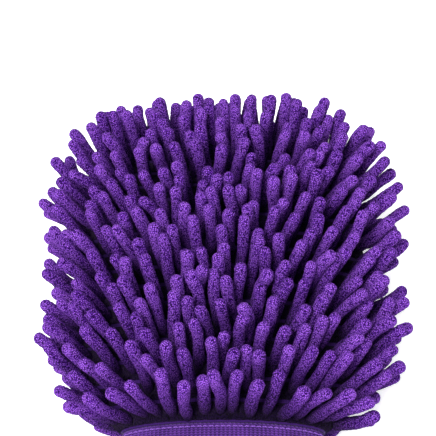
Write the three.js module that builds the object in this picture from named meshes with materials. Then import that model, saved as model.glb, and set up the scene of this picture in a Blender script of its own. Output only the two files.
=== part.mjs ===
// Chenille wash mitt lying on its back face, with the hand pocket held open.
// Millimetres. +Z is up, +Y runs from the cuff to the finger end, and the origin is on the
// surface that the mitt rests on, under the middle of its length and width.
import * as THREE from 'three';

const { lerp, clamp } = THREE.MathUtils;

// Clearance kept between neighbouring pieces, and between facets of nested curved layers.
const GAP = 0.3;
const LAYER_GAP = 0.9;

// Fabric body: two panels sewn together round both sides and the finger end.
const BODY_HALF_WIDTH = 88;
const BODY_HALF_THICKNESS = 22;
const BODY_EDGE_HALF_THICKNESS = 2.4;
const FINGER_END_Y = 116;
const FINGER_CORNER_RADIUS = 35;
const FINGER_TAPER_LENGTH = 75;
const NARROWING_START_Y = -45;
const SEAM_PLANE_Z = 35;

// Chenille pile: rows of soft fingers sewn across each backing, one strip solid to a row.
const ROW_PITCH = 13;
const ROWS_PER_FACE = 16;
const FRONT_PILE = 35;
const BACK_PILE = 18;
const SIDE_PILE = 30;
const PILE_END_Y = 147.5;
const PILE_EDGE_RISE = 10;
const PILE_TAPER_LENGTH = 75;

// Where the rounded finger end is sampled, closer together as its corners turn in.
const CORNER_STATIONS = [97, 103, 110, 113.5];
const OVERHANG_STATIONS = [125, 134, 141, 145.5, PILE_END_Y];

// Cuff: a rib knit sleeve folded back on itself at the mouth, with an elastic in the fold.
const CUFF_SEAM_Y = FINGER_END_Y - ROWS_PER_FACE * ROW_PITCH;
const CUFF_MOUTH_Y = -147.5;
const CUFF_HALF_WIDTH = 59;
const CUFF_HALF_HEIGHT = 16;
const CUFF_MOUTH_DROP = 6;
const KNIT_THICKNESS = 1.7;
const CUFF_CHANNEL = 1.6;
const ELASTIC_WIDTH = 20;
const ELASTIC_THICKNESS = 1;
const BINDING_WIDTH = 7.5;
const BINDING_THICKNESS = 1;
const HEM_STITCH_Y = CUFF_MOUTH_Y + 24;

// Layers of each panel, as depths below the outer face of the backing. The backings meet at
// the side seam, and the layers inside them stop short of it.
const LAYER_END_Y = FINGER_END_Y - 17;
const BACKING = { side: [0, 1.2], face: [0, 1.2], endY: FINGER_END_Y };
const FOAM = { side: [9.5, 14], face: [1.2 + LAYER_GAP, 6.2], endY: LAYER_END_Y };
const LINING = { side: [15, 15.8], face: [6.2 + LAYER_GAP, 7.9], endY: LAYER_END_Y };

// Seam allowance of the side seam, turned to the inside of the body.
const ALLOWANCE_DEPTH = [3, 8.8];
const ALLOWANCE_THICKNESS = 1.8;

// Hanging loop and care label, both caught in the side edges of the cuff. They swing about
// lines at HINGE_X, and their ends keep far enough from the tacks to turn freely.
const LOOP_Y = -136;
const LOOP_TAPE_WIDTH = 12;
const LOOP_TAPE_THICKNESS = 1.2;
const LOOP_LENGTH = 36;
const LOOP_HALF_HEIGHT = 5.2;
const LABEL_Y = -110;
const LABEL_WIDTH = 20;
const LABEL_LENGTH = 30;
const LABEL_THICKNESS = 0.6;
const LABEL_SAG = 3;
const TACK_LENGTH = 1.2;
const TACK_HEIGHT = 2;
const HINGE_X = 61.3;
const LOOP_ROOT_X = HINGE_X + 1.7;
const LABEL_ROOT_X = HINGE_X + 0.8;

const STEPS_ACROSS = 12;
const STEPS_ROUND_CUFF = 24;
const FRONT = 1;
const BACK = -1;

const COLOURS = {
  chenille: { color: 0x54297d, roughness: 0.95 },
  backing: { color: 0x43216a, roughness: 0.9 },
  foam: { color: 0xe9e4cf, roughness: 0.95 },
  lining: { color: 0x4a2c72, roughness: 0.85 },
  knit: { color: 0x4b2474, roughness: 0.9 },
  elastic: { color: 0xf0efec, roughness: 0.8 },
  binding: { color: 0x3c1d5e, roughness: 0.85 },
  thread: { color: 0x5a3488, roughness: 0.7 },
  webbing: { color: 0x46226d, roughness: 0.85 },
  label: { color: 0xf4f2ee, roughness: 0.6 },
};

const mitt = new THREE.Group();

function addPiece(name, finish, geometry) {
  const material = new THREE.MeshStandardMaterial({ ...COLOURS[finish], metalness: 0 });
  const mesh = new THREE.Mesh(geometry, material);
  mesh.name = name;
  mitt.add(mesh);
  return mesh;
}

// Moves every vertex of a geometry to the place that a function gives for it.
function bend(geometry, place) {
  const position = geometry.getAttribute('position');
  for (let i = 0; i < position.count; i += 1) {
    const [x, y, z] = place(position.getX(i), position.getY(i), position.getZ(i));
    position.setXYZ(i, x, y, z);
  }
  geometry.computeVertexNormals();
  return geometry;
}

// A unit box bent to shape: the place function takes shares 0 to 1 of the three directions.
function bentBox(steps, place) {
  const box = new THREE.BoxGeometry(1, 1, 1, ...steps);
  return bend(box, (x, y, z) => place(x + 0.5, y + 0.5, z + 0.5));
}

// --- the mitt's outline and cross-sections --------------------------------------------

// 0 at the cuff seam, 1 where the gathered body has flared out to its full width.
function openness(y) {
  const share = clamp((y - CUFF_SEAM_Y) / (NARROWING_START_Y - CUFF_SEAM_Y), 0, 1);
  return Math.sin((share * Math.PI) / 2);
}

// How far a rounded corner pulls the side in, at y near a straight end.
function cornerInset(y, endY, radius) {
  const past = clamp(y - (endY - radius), 0, radius);
  return radius - Math.sqrt(radius ** 2 - past ** 2);
}

// Height over the seam plane, falling away to a thin edge at the finger end.
function pillow(y, endY, taperLength, edge, full) {
  const share = clamp((endY - y) / taperLength, 0, 1);
  return edge + (full - edge) * Math.sin((share * Math.PI) / 2);
}

// The body's section, or that of a layer so deep inside its side edges and its two faces.
function bodySection(y, sideDepth = 0, faceDepth = 0) {
  const halfWidth = lerp(CUFF_HALF_WIDTH, BODY_HALF_WIDTH, openness(y)) - sideDepth;
  const rise = lerp(CUFF_HALF_HEIGHT, BODY_HALF_THICKNESS, openness(y));
  const edge = BODY_EDGE_HALF_THICKNESS;
  const corner = cornerInset(y, FINGER_END_Y - sideDepth, FINGER_CORNER_RADIUS - sideDepth);
  return {
    halfWidth: halfWidth - corner,
    rise: pillow(y, FINGER_END_Y, FINGER_TAPER_LENGTH, edge, rise) - faceDepth,
  };
}

function pileSection(y, pile) {
  const halfWidth = lerp(CUFF_HALF_WIDTH, BODY_HALF_WIDTH, openness(y)) + SIDE_PILE;
  const rise = lerp(CUFF_HALF_HEIGHT, BODY_HALF_THICKNESS, openness(y)) + pile;
  const radius = FINGER_CORNER_RADIUS + SIDE_PILE;
  return {
    halfWidth: halfWidth - cornerInset(y, PILE_END_Y, radius),
    rise: pillow(y, PILE_END_Y, PILE_TAPER_LENGTH, PILE_EDGE_RISE, rise),
  };
}

// The surface that the pile stands on: the backing, and past its end the seam plane.
function pileFootSection(y) {
  if (y > FINGER_END_Y + 2 * GAP) {
    return { halfWidth: pileSection(y, 0).halfWidth - 1, rise: 0 };
  }
  const body = bodySection(Math.min(y, FINGER_END_Y));
  return { halfWidth: body.halfWidth + LAYER_GAP, rise: body.rise + LAYER_GAP };
}

// A point on half an ellipse over or under the seam plane, never below the resting surface.
function pointOnSection(face, across, y, { halfWidth, rise }) {
  const angle = face === FRONT ? Math.PI * (1 - across) : Math.PI * across;
  const height = GAP / 2 + rise * Math.max(0, Math.sin(angle));
  return [halfWidth * Math.cos(angle), y, Math.max(0, SEAM_PLANE_Z + face * height)];
}

// --- panels ---------------------------------------------------------------------------

function panelLayer(face, layer) {
  const stations = [];
  for (let y = CUFF_SEAM_Y; y < CORNER_STATIONS[0]; y += ROW_PITCH) {
    stations.push(y);
  }
  stations.push(...CORNER_STATIONS.filter((y) => y < layer.endY), layer.endY);
  const steps = stations.length - 1;
  return bentBox([STEPS_ACROSS, steps, 1], (across, along, out) => {
    const y = stations[Math.round(along * steps)];
    const sideDepth = lerp(layer.side[1], layer.side[0], out);
    const faceDepth = lerp(layer.face[1], layer.face[0], out);
    return pointOnSection(face, across, y, bodySection(y, sideDepth, faceDepth));
  });
}

function rowStations(index) {
  const startY = CUFF_SEAM_Y + index * ROW_PITCH + GAP / 2;
  if (index < ROWS_PER_FACE - 1) {
    const endY = startY + ROW_PITCH - GAP;
    return [startY, ...CORNER_STATIONS.filter((y) => y > startY && y < endY), endY];
  }
  const overEdge = FINGER_END_Y + 2 * GAP;
  const corner = CORNER_STATIONS.filter((y) => y > startY);
  return [startY, ...corner, overEdge, overEdge + GAP, ...OVERHANG_STATIONS];
}

function chenilleRow(face, index) {
  const stations = rowStations(index);
  const steps = stations.length - 1;
  const pile = face === FRONT ? FRONT_PILE : BACK_PILE;
  return bentBox([STEPS_ACROSS, steps, 1], (across, along, out) => {
    const y = stations[Math.round(along * steps)];
    const section = out > 0.5 ? pileSection(y, pile) : pileFootSection(y);
    return pointOnSection(face, across, y, section);
  });
}

// --- side seam ------------------------------------------------------------------------

// The seam line in plan: up one side, round the finger end and down the other side.
function seamLine(inset) {
  const cornerX = BODY_HALF_WIDTH - FINGER_CORNER_RADIUS;
  const cornerY = FINGER_END_Y - FINGER_CORNER_RADIUS;
  const radius = FINGER_CORNER_RADIUS - inset;
  const sideSteps = 12;
  const cornerSteps = 6;
  const right = [];
  for (let i = 0; i < sideSteps; i += 1) {
    const y = lerp(CUFF_SEAM_Y + ROW_PITCH / 2, cornerY, i / sideSteps);
    right.push([bodySection(y).halfWidth - inset, y]);
  }
  for (let i = 0; i <= cornerSteps; i += 1) {
    const angle = ((Math.PI / 2) * i) / cornerSteps;
    right.push([cornerX + radius * Math.cos(angle), cornerY + radius * Math.sin(angle)]);
  }
  const left = right.map(([x, y]) => [-x, y]).reverse();
  return [...right, ...left];
}

function sideSeamAllowance() {
  const outerLine = seamLine(ALLOWANCE_DEPTH[0]);
  const innerLine = seamLine(ALLOWANCE_DEPTH[1]);
  const steps = outerLine.length - 1;
  return bentBox([steps, 1, 1], (along, inward, up) => {
    const line = inward > 0.5 ? innerLine : outerLine;
    const [x, y] = line[Math.round(along * steps)];
    return [x, y, SEAM_PLANE_Z + (up - 0.5) * ALLOWANCE_THICKNESS];
  });
}

// --- cuff -----------------------------------------------------------------------------

// The cuff droops in a straight line from the seam to the mouth.
function cuffCentreZ(y) {
  const share = Math.max(0, (CUFF_SEAM_Y - y) / (CUFF_SEAM_Y - CUFF_MOUTH_Y));
  return SEAM_PLANE_Z - CUFF_MOUTH_DROP * share;
}

// Turns a closed profile of [depth below the cuff's outer face, y] all round the sleeve.
function cuffRing(profile) {
  const baseRadius = CUFF_HALF_WIDTH;
  const points = profile.map(([depth, y]) => new THREE.Vector2(baseRadius - depth, y));
  points.push(points[0]);
  const ring = new THREE.LatheGeometry(points, STEPS_ROUND_CUFF);
  return bend(ring, (x, y, z) => {
    const depth = baseRadius - Math.hypot(x, z);
    const angle = Math.atan2(z, x);
    return [
      (CUFF_HALF_WIDTH - depth) * Math.cos(angle),
      y,
      cuffCentreZ(y) + (CUFF_HALF_HEIGHT - depth) * Math.sin(angle),
    ];
  });
}

function ribCuff() {
  const topY = CUFF_SEAM_Y - GAP;
  const wall = 2 * KNIT_THICKNESS + CUFF_CHANNEL;
  const foldY = CUFF_MOUTH_Y + KNIT_THICKNESS;
  const middleY = (topY + CUFF_MOUTH_Y) / 2;
  return cuffRing([
    [0, topY],
    [KNIT_THICKNESS, topY],
    [KNIT_THICKNESS, middleY],
    [KNIT_THICKNESS, foldY],
    [wall - KNIT_THICKNESS, foldY],
    [wall - KNIT_THICKNESS, middleY],
    [wall - KNIT_THICKNESS, topY],
    [wall, topY],
    [wall, middleY],
    [wall, foldY],
    [wall - 0.8, CUFF_MOUTH_Y + 0.5],
    [wall / 2, CUFF_MOUTH_Y],
    [0.8, CUFF_MOUTH_Y + 0.5],
    [0, foldY],
    [0, middleY],
  ]);
}

function ringBetween(fromDepth, toDepth, fromY, toY) {
  return cuffRing([
    [fromDepth, toY],
    [toDepth, toY],
    [toDepth, fromY],
    [fromDepth, fromY],
  ]);
}

function cuffElastic() {
  const depth = KNIT_THICKNESS + GAP;
  const startY = CUFF_MOUTH_Y + KNIT_THICKNESS + GAP;
  return ringBetween(depth, depth + ELASTIC_THICKNESS, startY, startY + ELASTIC_WIDTH);
}

function cuffSeamBinding() {
  const depth = 2 * KNIT_THICKNESS + CUFF_CHANNEL + GAP;
  const endY = CUFF_SEAM_Y - 2 * GAP;
  return ringBetween(depth, depth + BINDING_THICKNESS, endY - BINDING_WIDTH, endY);
}

function threadRing(y) {
  return ringBetween(-GAP - 0.7, -GAP, y - 0.5, y + 0.5);
}

// --- loop, label and the stitches that hold them ----------------------------------------

function tack(side, y, width) {
  const bar = new THREE.BoxGeometry(TACK_LENGTH, width, TACK_HEIGHT);
  return bar.translate(side * (CUFF_HALF_WIDTH + GAP + TACK_LENGTH / 2), y, cuffCentreZ(y));
}

// Teardrop outline of the folded tape, closed at the tack and round at the far end.
function teardrop(path, thickness) {
  const root = thickness > 0 ? thickness * 3 : 0;
  const end = LOOP_LENGTH - thickness;
  const rise = LOOP_HALF_HEIGHT - thickness;
  const rootRise = thickness > 0 ? 0.15 : LOOP_TAPE_THICKNESS;
  path.moveTo(root, -rootRise);
  path.bezierCurveTo(root + 8, -rootRise, root + 12, -rise, end - rise - 4, -rise);
  path.bezierCurveTo(end - 2, -rise, end, -rise / 2, end, 0);
  path.bezierCurveTo(end, rise / 2, end - 2, rise, end - rise - 4, rise);
  path.bezierCurveTo(root + 12, rise, root + 8, rootRise, root, rootRise);
  path.closePath();
  return path;
}

function hangLoop() {
  const outline = teardrop(new THREE.Shape(), 0);
  outline.holes.push(teardrop(new THREE.Path(), LOOP_TAPE_THICKNESS));
  const tape = new THREE.ExtrudeGeometry(outline, {
    depth: LOOP_TAPE_WIDTH,
    bevelEnabled: false,
    curveSegments: 6,
  });
  tape.rotateX(Math.PI / 2);
  return tape.translate(LOOP_ROOT_X, LOOP_Y + LOOP_TAPE_WIDTH / 2, cuffCentreZ(LOOP_Y));
}

function careLabel() {
  return bentBox([8, 1, 1], (along, across, up) => {
    const out = 1 - along;
    const sag = LABEL_SAG * out ** 2;
    const z = cuffCentreZ(LABEL_Y) - sag + (up - 0.5) * LABEL_THICKNESS;
    return [-LABEL_ROOT_X - out * LABEL_LENGTH, LABEL_Y + (across - 0.5) * LABEL_WIDTH, z];
  });
}

// --- assembly ---------------------------------------------------------------------------

function rowName(prefix, index) {
  return `${prefix}_chenille_row_${String(index + 1).padStart(2, '0')}`;
}

for (const [prefix, face] of [['front', FRONT], ['back', BACK]]) {
  addPiece(`${prefix}_backing`, 'backing', panelLayer(face, BACKING));
  addPiece(`${prefix}_foam_pad`, 'foam', panelLayer(face, FOAM));
  addPiece(`${prefix}_pocket_lining`, 'lining', panelLayer(face, LINING));
  for (let index = 0; index < ROWS_PER_FACE; index += 1) {
    addPiece(rowName(prefix, index), 'chenille', chenilleRow(face, index));
  }
}

addPiece('side_seam_allowance', 'binding', sideSeamAllowance());
addPiece('rib_knit_cuff', 'knit', ribCuff());
addPiece('cuff_elastic', 'elastic', cuffElastic());
addPiece('cuff_seam_binding', 'binding', cuffSeamBinding());
addPiece('cuff_join_stitching', 'thread', threadRing(CUFF_SEAM_Y - 2.5));
addPiece('cuff_hem_stitching', 'thread', threadRing(HEM_STITCH_Y));
addPiece('hang_loop', 'webbing', hangLoop());
addPiece('hang_loop_bar_tack', 'thread', tack(1, LOOP_Y, LOOP_TAPE_WIDTH));
addPiece('care_label', 'label', careLabel());
addPiece('care_label_stitching', 'thread', tack(-1, LABEL_Y, LABEL_WIDTH));

export default mitt;
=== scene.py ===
"""Looks of a chenille wash mitt: soft fingers in sewn rows, a rib knit cuff, a loop and a label.

Lengths are in metres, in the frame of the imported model: +Z up, +Y towards the finger end.
The soft fingers are settled by a small position-based simulation, so that they lean on each
other, on the fabric body and on the floor, and each row of them becomes one piece.
"""
import math
import bpy
import numpy as np
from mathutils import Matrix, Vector


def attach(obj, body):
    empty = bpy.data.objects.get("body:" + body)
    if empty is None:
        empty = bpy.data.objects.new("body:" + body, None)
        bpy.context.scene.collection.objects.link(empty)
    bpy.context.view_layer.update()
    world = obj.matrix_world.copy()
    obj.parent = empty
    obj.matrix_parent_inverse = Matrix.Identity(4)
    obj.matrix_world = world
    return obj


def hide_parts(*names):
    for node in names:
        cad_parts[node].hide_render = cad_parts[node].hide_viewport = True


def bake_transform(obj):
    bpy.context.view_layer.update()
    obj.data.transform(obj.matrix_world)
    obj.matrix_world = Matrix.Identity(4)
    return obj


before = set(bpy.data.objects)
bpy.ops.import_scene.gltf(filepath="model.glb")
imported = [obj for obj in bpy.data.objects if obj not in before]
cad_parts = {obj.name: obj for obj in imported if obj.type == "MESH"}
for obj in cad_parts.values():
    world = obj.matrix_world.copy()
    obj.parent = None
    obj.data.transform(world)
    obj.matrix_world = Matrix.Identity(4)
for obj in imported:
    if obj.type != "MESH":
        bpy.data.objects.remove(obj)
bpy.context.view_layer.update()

MM = 0.001
SEED = 7
MITT, LOOP, LABEL = "mitt", "loop", "label"
FRONT, BACK = 1, -1

# Fabric body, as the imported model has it.
BODY_HALF_WIDTH = 88 * MM
BODY_HALF_THICKNESS = 22 * MM
BODY_EDGE_HALF_THICKNESS = 2.4 * MM
FINGER_END_Y = 116 * MM
FINGER_CORNER_RADIUS = 35 * MM
FINGER_TAPER_LENGTH = 75 * MM
NARROWING_START_Y = -45 * MM
SEAM_PLANE_Z = 35 * MM
ROW_PITCH = 13 * MM
ROWS_PER_FACE = 16
LAYER_END_Y = FINGER_END_Y - 17 * MM

# Cuff.
CUFF_SEAM_Y = FINGER_END_Y - ROWS_PER_FACE * ROW_PITCH
CUFF_MOUTH_Y = -147.5 * MM
CUFF_HALF_WIDTH = 59 * MM
CUFF_HALF_HEIGHT = 16 * MM
CUFF_MOUTH_DROP = 6 * MM
KNIT_THICKNESS = 1.7 * MM
CUFF_WALL = 5 * MM
HEM_STITCH_Y = CUFF_MOUTH_Y + 24 * MM
JOIN_STITCH_Y = CUFF_SEAM_Y - 2.5 * MM
STITCHES_ROUND = 74
RIBS = 104
VERTICES_PER_RIB = 6
RIB_RELIEF = 0.7 * MM
KNIT_STITCH = 1.5 * MM
STITCH_SLANT = 4.6
ELASTIC_DEPTHS = (2.1 * MM, 2.9 * MM)
ELASTIC_YS = (CUFF_MOUTH_Y + 2.2 * MM, CUFF_MOUTH_Y + 21.8 * MM)
BINDING_DEPTHS = (5.4 * MM, 6.1 * MM)
BINDING_YS = (CUFF_SEAM_Y - 8 * MM, CUFF_SEAM_Y - 0.7 * MM)

# Layers of each face: the depths of their outer and inner faces, in from the sides and the face.
BACKING_DEPTHS = (0, 1.1 * MM)
FOAM_SIDE_DEPTHS = (9.5 * MM, 14 * MM)
FOAM_FACE_DEPTHS = (2.1 * MM, 6.2 * MM)
LINING_SIDE_DEPTHS = (15 * MM, 15.6 * MM)
LINING_FACE_DEPTHS = (7.15 * MM, 7.75 * MM)

# The lining comes out to this depth at the cuff seam, over this length, and the foam starts past it.
LINING_SEAM_DEPTH = 6.2 * MM
LINING_FLARE = 13 * MM

# Seam allowance round the sides and the finger end, with the overlock thread over its cut edge.
ALLOWANCE_INSETS = (3 * MM, 8 * MM)
ALLOWANCE_HALF_THICKNESS = 0.7 * MM
OVERLOCK_INSETS = (4.6 * MM, 8.3 * MM)
OVERLOCK_WINDS = 130
POINTS_PER_WIND = 12

# Loop and label, which swing about lines at the sides of the cuff.
HINGE_X = 61.3 * MM
TAPE_ROOT_X = CUFF_HALF_WIDTH - 0.6 * MM
LOOP_Y = -136 * MM
LOOP_WIDTH = 12 * MM
LOOP_THICKNESS = 1.1 * MM
LOOP_END_X = HINGE_X + 37.2 * MM
LOOP_HALF_HEIGHT = 4.7 * MM
LABEL_Y = -110 * MM
LABEL_WIDTH = 20 * MM
LABEL_LENGTH = 32.5 * MM
LABEL_THICKNESS = 0.45 * MM
LABEL_SAG = 3 * MM

# Soft fingers. Spreads and droops are in degrees from upright, towards the sides.
FINGER_DIAMETER = 7.1 * MM
FINGER_LENGTH = 39 * MM
FRONT_SPACING = 10.9 * MM
BACK_SPACING = 13 * MM
FRONT_SPREAD = 72
BACK_SPREAD = 100
EDGE_DROOP = 32
END_NARROWING = 20
FINGER_LINKS = 9
FINGER_SIDES = 26
SHAFT_RINGS = 56
TIP_RINGS = 8
GRAIN = 0.17 * MM
LOOPS_PER_METRE = 1080

# Settling: how strongly, at each step, fingers go back to shape, sag and resist bending.
SETTLE_STEPS = 140
SHAPE_PULL = 0.07
SAG_PER_STEP = 0.05 * MM
BEND_STIFFNESS = 0.25

# Studio. Each light has a name, a direction it shines from, a strength and a softness in degrees.
CAMERA_AIM = (-0.003, 0.052, 0.050)
CAMERA_ELEVATION = 55
CAMERA_DISTANCE = 0.97
CAMERA_LENS = 127
DOME_LIGHT = 0.235
FLOOR_GLOW = 0.52
FLOOR_HALF_SIZE = 6
LIGHTS = (
    ("key_light", (-0.33, -0.42, 1.0), 4.6, 24),
    ("fill_light", (0.35, -0.80, 0.6), 0.9, 50),
    ("top_light", (0.05, 0.45, 1.0), 0.7, 50),
)

# Woven fabrics: material name, dark and light thread as sRGB shares, thread pitch, roughness.
WEAVES = {
    # The backing's dark purple is partly its own colour and partly painted shade for the gaps between
    # the fingers.
    "backing_fabric": ("backing_weave", (0.10, 0.03, 0.19), (0.21, 0.09, 0.36), 1.0 * MM, 0.9),
    "lining_fabric": ("lining_taffeta", (0.22, 0.12, 0.36), (0.36, 0.22, 0.54), 0.6 * MM, 0.6),
    "elastic": ("elastic_braid", (0.80, 0.80, 0.78), (0.95, 0.95, 0.93), 0.9 * MM, 0.7),
    "binding_tape": ("binding_twill", (0.15, 0.07, 0.26), (0.30, 0.15, 0.46), 0.7 * MM, 0.75),
}

rng = np.random.default_rng(SEED)


# --- the body's shape ---

def openness(y):
    """0 at the cuff seam, 1 where the gathered body has flared out to its full width."""
    share = np.clip((y - CUFF_SEAM_Y) / (NARROWING_START_Y - CUFF_SEAM_Y), 0, 1)
    return np.sin(share * np.pi / 2)


def half_width(y, depth=0.0):
    """Half the body's width in plan, or that of a layer so deep inside its edge."""
    wide = CUFF_HALF_WIDTH + (BODY_HALF_WIDTH - CUFF_HALF_WIDTH) * openness(y) - depth
    radius = FINGER_CORNER_RADIUS - depth
    past = np.clip(y - (FINGER_END_Y - FINGER_CORNER_RADIUS), 0, radius)
    return wide - radius + np.sqrt(np.maximum(radius ** 2 - past ** 2, 0))


def rise(y, depth=0.0):
    """How far the body's face stands from the seam plane, or a layer so deep under it."""
    full = CUFF_HALF_HEIGHT + (BODY_HALF_THICKNESS - CUFF_HALF_HEIGHT) * openness(y)
    share = np.clip((FINGER_END_Y - y) / FINGER_TAPER_LENGTH, 0, 1)
    edge = BODY_EDGE_HALF_THICKNESS
    return edge + (full - edge) * np.sin(share * np.pi / 2) - depth


def cuff_centre_z(y):
    """The sleeve sinks a little towards its mouth."""
    share = np.clip((CUFF_SEAM_Y - y) / (CUFF_SEAM_Y - CUFF_MOUTH_Y), 0, 1.1)
    return SEAM_PLANE_Z - CUFF_MOUTH_DROP * share


def even_angles(wide, high, start, end, count):
    """Angles on an ellipse that are evenly spaced along its edge."""
    angle = np.linspace(start, end, 721)
    x, z = wide * np.cos(angle), high * np.sin(angle)
    along = np.concatenate([[0], np.cumsum(np.hypot(np.diff(x), np.diff(z)))])
    return np.interp(np.linspace(0, along[-1], count), along, angle)


def arc_length(wide, high):
    """The length of half an ellipse, from side to side over the top."""
    angle = np.linspace(0, np.pi, 181)
    return float(np.hypot(np.diff(wide * np.cos(angle)), np.diff(high * np.sin(angle))).sum())


# --- meshes ---

def make_mesh(name, points, faces):
    """A mesh from an array of points and a list of face arrays, each with its own side count."""
    mesh = bpy.data.meshes.new(name)
    mesh.vertices.add(len(points))
    mesh.vertices.foreach_set("co", np.asarray(points, np.float32).ravel())
    corners = np.concatenate([f.ravel() for f in faces]).astype(np.int32)
    sizes = np.concatenate([np.full(len(f), f.shape[1]) for f in faces])
    mesh.loops.add(len(corners))
    mesh.loops.foreach_set("vertex_index", corners)
    mesh.polygons.add(len(sizes))
    starts = np.concatenate([[0], np.cumsum(sizes)[:-1]]).astype(np.int32)
    mesh.polygons.foreach_set("loop_start", starts)
    mesh.polygons.foreach_set("use_smooth", np.ones(len(sizes), bool))
    mesh.update(calc_edges=True)
    mesh.validate()
    return mesh


def add_piece(name, points, faces, material, body, nodes):
    """A visual piece in place of some nodes, which moves with one body unless that is None."""
    piece = bpy.data.objects.new(name, make_mesh(name, points, faces))
    bpy.context.scene.collection.objects.link(piece)
    piece.data.materials.append(material)
    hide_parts(*nodes)
    if body:
        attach(piece, body)
    return piece


def grid_faces(rows, columns, wrap_rows=False, wrap_columns=False):
    """Quads over a grid of points numbered row by row."""
    r = np.arange(rows if wrap_rows else rows - 1)
    c = np.arange(columns if wrap_columns else columns - 1)
    r, c = np.meshgrid(r, c, indexing="ij")
    r, c = r.ravel(), c.ravel()
    up, right = (r + 1) % rows, (c + 1) % columns
    here, above = r * columns, up * columns
    return np.stack([here + c, here + right, above + right, above + c], 1)


def swept(sections, closed_path=False):
    """A skin over sections, an array (stations, points round, 3), with flat ends if it is open."""
    stations, around = sections.shape[:2]
    faces = [grid_faces(stations, around, wrap_rows=closed_path, wrap_columns=True)]
    if not closed_path:
        ends = np.arange(around)
        faces.append(ends[::-1][None])
        faces.append((stations - 1) * around + ends[None])
    return sections.reshape(-1, 3), faces


def joined(parts):
    """One set of points and faces from several."""
    points, faces, first = [], [], 0
    for part_points, part_faces in parts:
        points.append(part_points)
        faces.extend(f + first for f in part_faces)
        first += len(part_points)
    return np.concatenate(points), faces


# --- soft fingers ---

def turned(angle_out, angle_forward):
    """A direction leaning out from the vertical towards +X, and forward towards +Y."""
    return np.stack([
        np.sin(angle_out) * np.cos(angle_forward),
        np.sin(angle_forward),
        np.cos(angle_out) * np.cos(angle_forward),
    ], -1)


def forward_lean(y):
    """How far each front finger is combed towards the finger end, with a scatter of its own."""
    marks = np.array([-92, -62, -30, 5, 40, 80, 98, 106, 116]) * MM
    degrees = [3, 20, 33, 29, 18, 13, 22, 42, 86]
    return np.radians(np.interp(y, marks, degrees) + rng.normal(0, 5, np.shape(y)))


def front_direction(x, y):
    """Fingers on top stand up in the middle and spread towards the sides."""
    share = np.clip(x / half_width(y), -1, 1)
    edge = np.abs(share) ** 6
    at_end = np.clip((y - 60 * MM) / (50 * MM), 0, 1)
    droop = EDGE_DROOP * edge * rng.uniform(-0.1, 1, np.shape(x)) - END_NARROWING * at_end
    out = np.radians(FRONT_SPREAD + droop) * np.sign(share) * np.abs(share) ** 1.9
    lean = forward_lean(y)
    marks = np.array([-92, -72, -30, 20, 116]) * MM
    edge_lean = np.radians(np.interp(y, marks, [0, 34, 44, 46, 70]))
    return turned(out, lean + (edge_lean - lean) * edge)


def back_direction(x, y):
    """Fingers under the body lie nearly flat, pointing outwards and forwards."""
    share = np.clip(x / half_width(y), -1, 1)
    out = np.radians(BACK_SPREAD) * np.sign(share) * np.abs(share) ** 0.8
    marks = np.array([-92, -70, 80, 116]) * MM
    direction = turned(out, np.radians(np.interp(y, marks, [22, 38, 45, 80])))
    at_end = np.clip((y - 90 * MM) / (26 * MM), 0, 1)
    seam = np.maximum(np.abs(share) ** 6, at_end)
    scatter = rng.uniform(-0.3, 1, np.shape(x))
    direction[..., 2] = -0.37 + 0.27 * np.maximum(np.abs(share), at_end) + 0.26 * seam * scatter
    return direction / np.linalg.norm(direction, axis=-1, keepdims=True)


def row_lines(index):
    """Where the lines of fingers of one row lie along the mitt: two at the finger end."""
    middle = CUFF_SEAM_Y + (index + 0.5) * ROW_PITCH
    if index == ROWS_PER_FACE - 1:
        return [middle - 2.5 * MM, FINGER_END_Y - 1.2 * MM]
    return [middle]


def plant_line(face, index, y):
    """Roots and surface normals along one sewn line."""
    wide, high = float(half_width(y)), float(rise(y))
    spacing = FRONT_SPACING if face == FRONT else BACK_SPACING
    marks = np.array([-90, -70, -30, 30, 95, 114]) * MM
    spacing *= np.interp(y, marks, [0.80, 0.87, 0.99, 1.01, 0.90, 0.69])
    count = max(6, int(round(arc_length(wide, high) / spacing)))
    offset = 0.25 if index % 2 else -0.25
    share = (np.arange(count) + 0.5 + offset) / count
    share = share + rng.normal(0, 0.10, count) / count
    angles = even_angles(wide, high, 0, np.pi, 400)
    angle = np.interp(np.clip(share, 0.012, 0.988), np.linspace(0, 1, len(angles)), angles)
    ys = y + rng.normal(0, 1.7 * MM, count)
    ys = np.minimum(ys, FINGER_END_Y - 0.5 * MM)
    x, z = wide * np.cos(angle), SEAM_PLANE_Z + face * high * np.sin(angle)
    normal = np.stack([np.cos(angle) / wide, 0 * angle, face * np.sin(angle) / high], 1)
    normal /= np.linalg.norm(normal, axis=1, keepdims=True)
    normal[:, 1] = np.interp(y, np.array([60, 105, 114]) * MM, [0, 0.45, 1.6])
    normal /= np.linalg.norm(normal, axis=1, keepdims=True)
    return np.stack([x, ys, z], 1), normal


def plant_fingers():
    """Every finger's root, normal, direction and row."""
    roots, normals, directions, rows = [], [], [], []
    for face in (FRONT, BACK):
        for index in range(ROWS_PER_FACE):
            for y in row_lines(index):
                root, normal = plant_line(face, index, y)
                aim = front_direction if face == FRONT else back_direction
                roots.append(root)
                normals.append(normal)
                directions.append(aim(root[:, 0], root[:, 1]))
                rows.extend([(face, index)] * len(root))
    roots, normals = np.concatenate(roots), np.concatenate(normals)
    directions = np.concatenate(directions) + rng.normal(0, 0.09, roots.shape) + drift(roots)
    directions /= np.linalg.norm(directions, axis=1, keepdims=True)
    return roots, normals, directions, rows


def drift(roots):
    """A smooth, wandering change of direction that neighbouring fingers share."""
    x, y = roots[:, 0] / (15 * MM), roots[:, 1] / (17 * MM)
    across = np.sin(x + 1.3 * np.sin(y * 0.8)) + 0.6 * np.sin(1.9 * y - 0.7 * x + 2)
    along = np.sin(1.2 * y + 1.1 * np.sin(x * 0.9 + 1)) + 0.6 * np.sin(1.6 * x + 0.8 * y)
    return 0.08 * np.stack([across, along, 0 * x], 1)


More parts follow.
